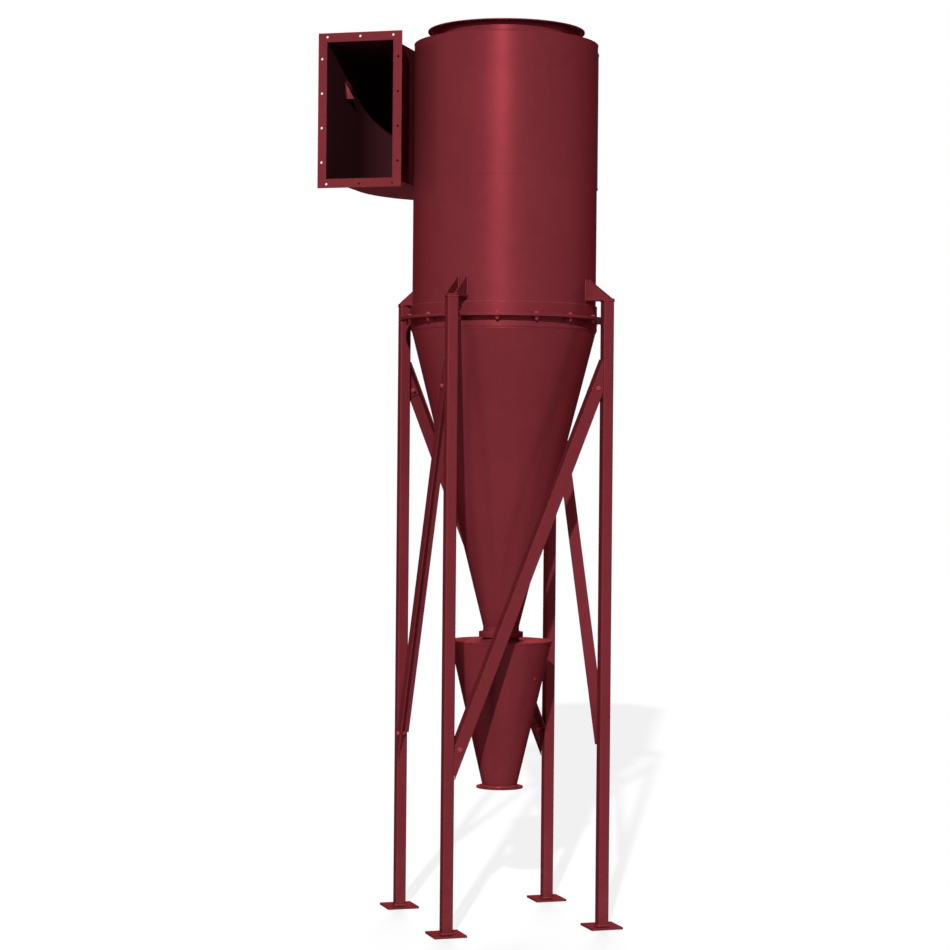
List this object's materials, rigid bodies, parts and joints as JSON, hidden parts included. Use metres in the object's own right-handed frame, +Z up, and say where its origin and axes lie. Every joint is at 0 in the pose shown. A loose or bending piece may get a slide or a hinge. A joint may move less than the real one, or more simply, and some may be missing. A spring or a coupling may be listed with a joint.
{
  "type": "cyclone separator",
  "caption": "Sheet-steel cyclone separator with a flanged scroll inlet, top gas outlet, long cone and dust hopper, hung by lugs on a braced square-tube stand.",
  "frame": {"origin": "on the vertical axis of the barrel, at floor level, centre of the foot anchor holes", "axes": "+Z up; gas enters the inlet along +Y; the inlet duct is on the -X side"},
  "size_m": [1.4252, 1.3281, 4.166],
  "materials": {
    "paint": "semi-gloss dark red primer paint"
  },
  "bodies": {
    "root": {"barrel_head": "paint", "barrel_ring": "paint", "barrel_shell": "paint", "brace_back_left": "paint", "brace_back_right": "paint", "brace_front_left": "paint", "brace_front_right": "paint", "brace_tabs_back_left": "paint", "brace_tabs_back_right": "paint", "brace_tabs_front_left": "paint", "brace_tabs_front_right": "paint", "cone_flange": "paint", "cone_ring": "paint", "cone_shell": "paint", "foot_plate_back": "paint", "foot_plate_front": "paint", "foot_plate_left": "paint", "foot_plate_right": "paint", "hopper_cover": "paint", "hopper_flange": "paint", "hopper_neck": "paint", "hopper_neck_flange": "paint", "hopper_shell": "paint", "inlet_flange": "paint", "leg_back": "paint", "leg_front": "paint", "leg_left": "paint", "leg_right": "paint", "lug_gussets_back": "paint", "lug_gussets_front": "paint", "lug_gussets_left": "paint", "lug_gussets_right": "paint", "lug_plate_back": "paint", "lug_plate_front": "paint", "lug_plate_left": "paint", "lug_plate_right": "paint", "outlet_flange": "paint", "outlet_tube": "paint", "roof_plate": "paint", "scroll_floor": "paint", "scroll_inner_wall": "paint", "scroll_outer_wall": "paint", "scroll_roof": "paint"}
  },
  "joints": []
}
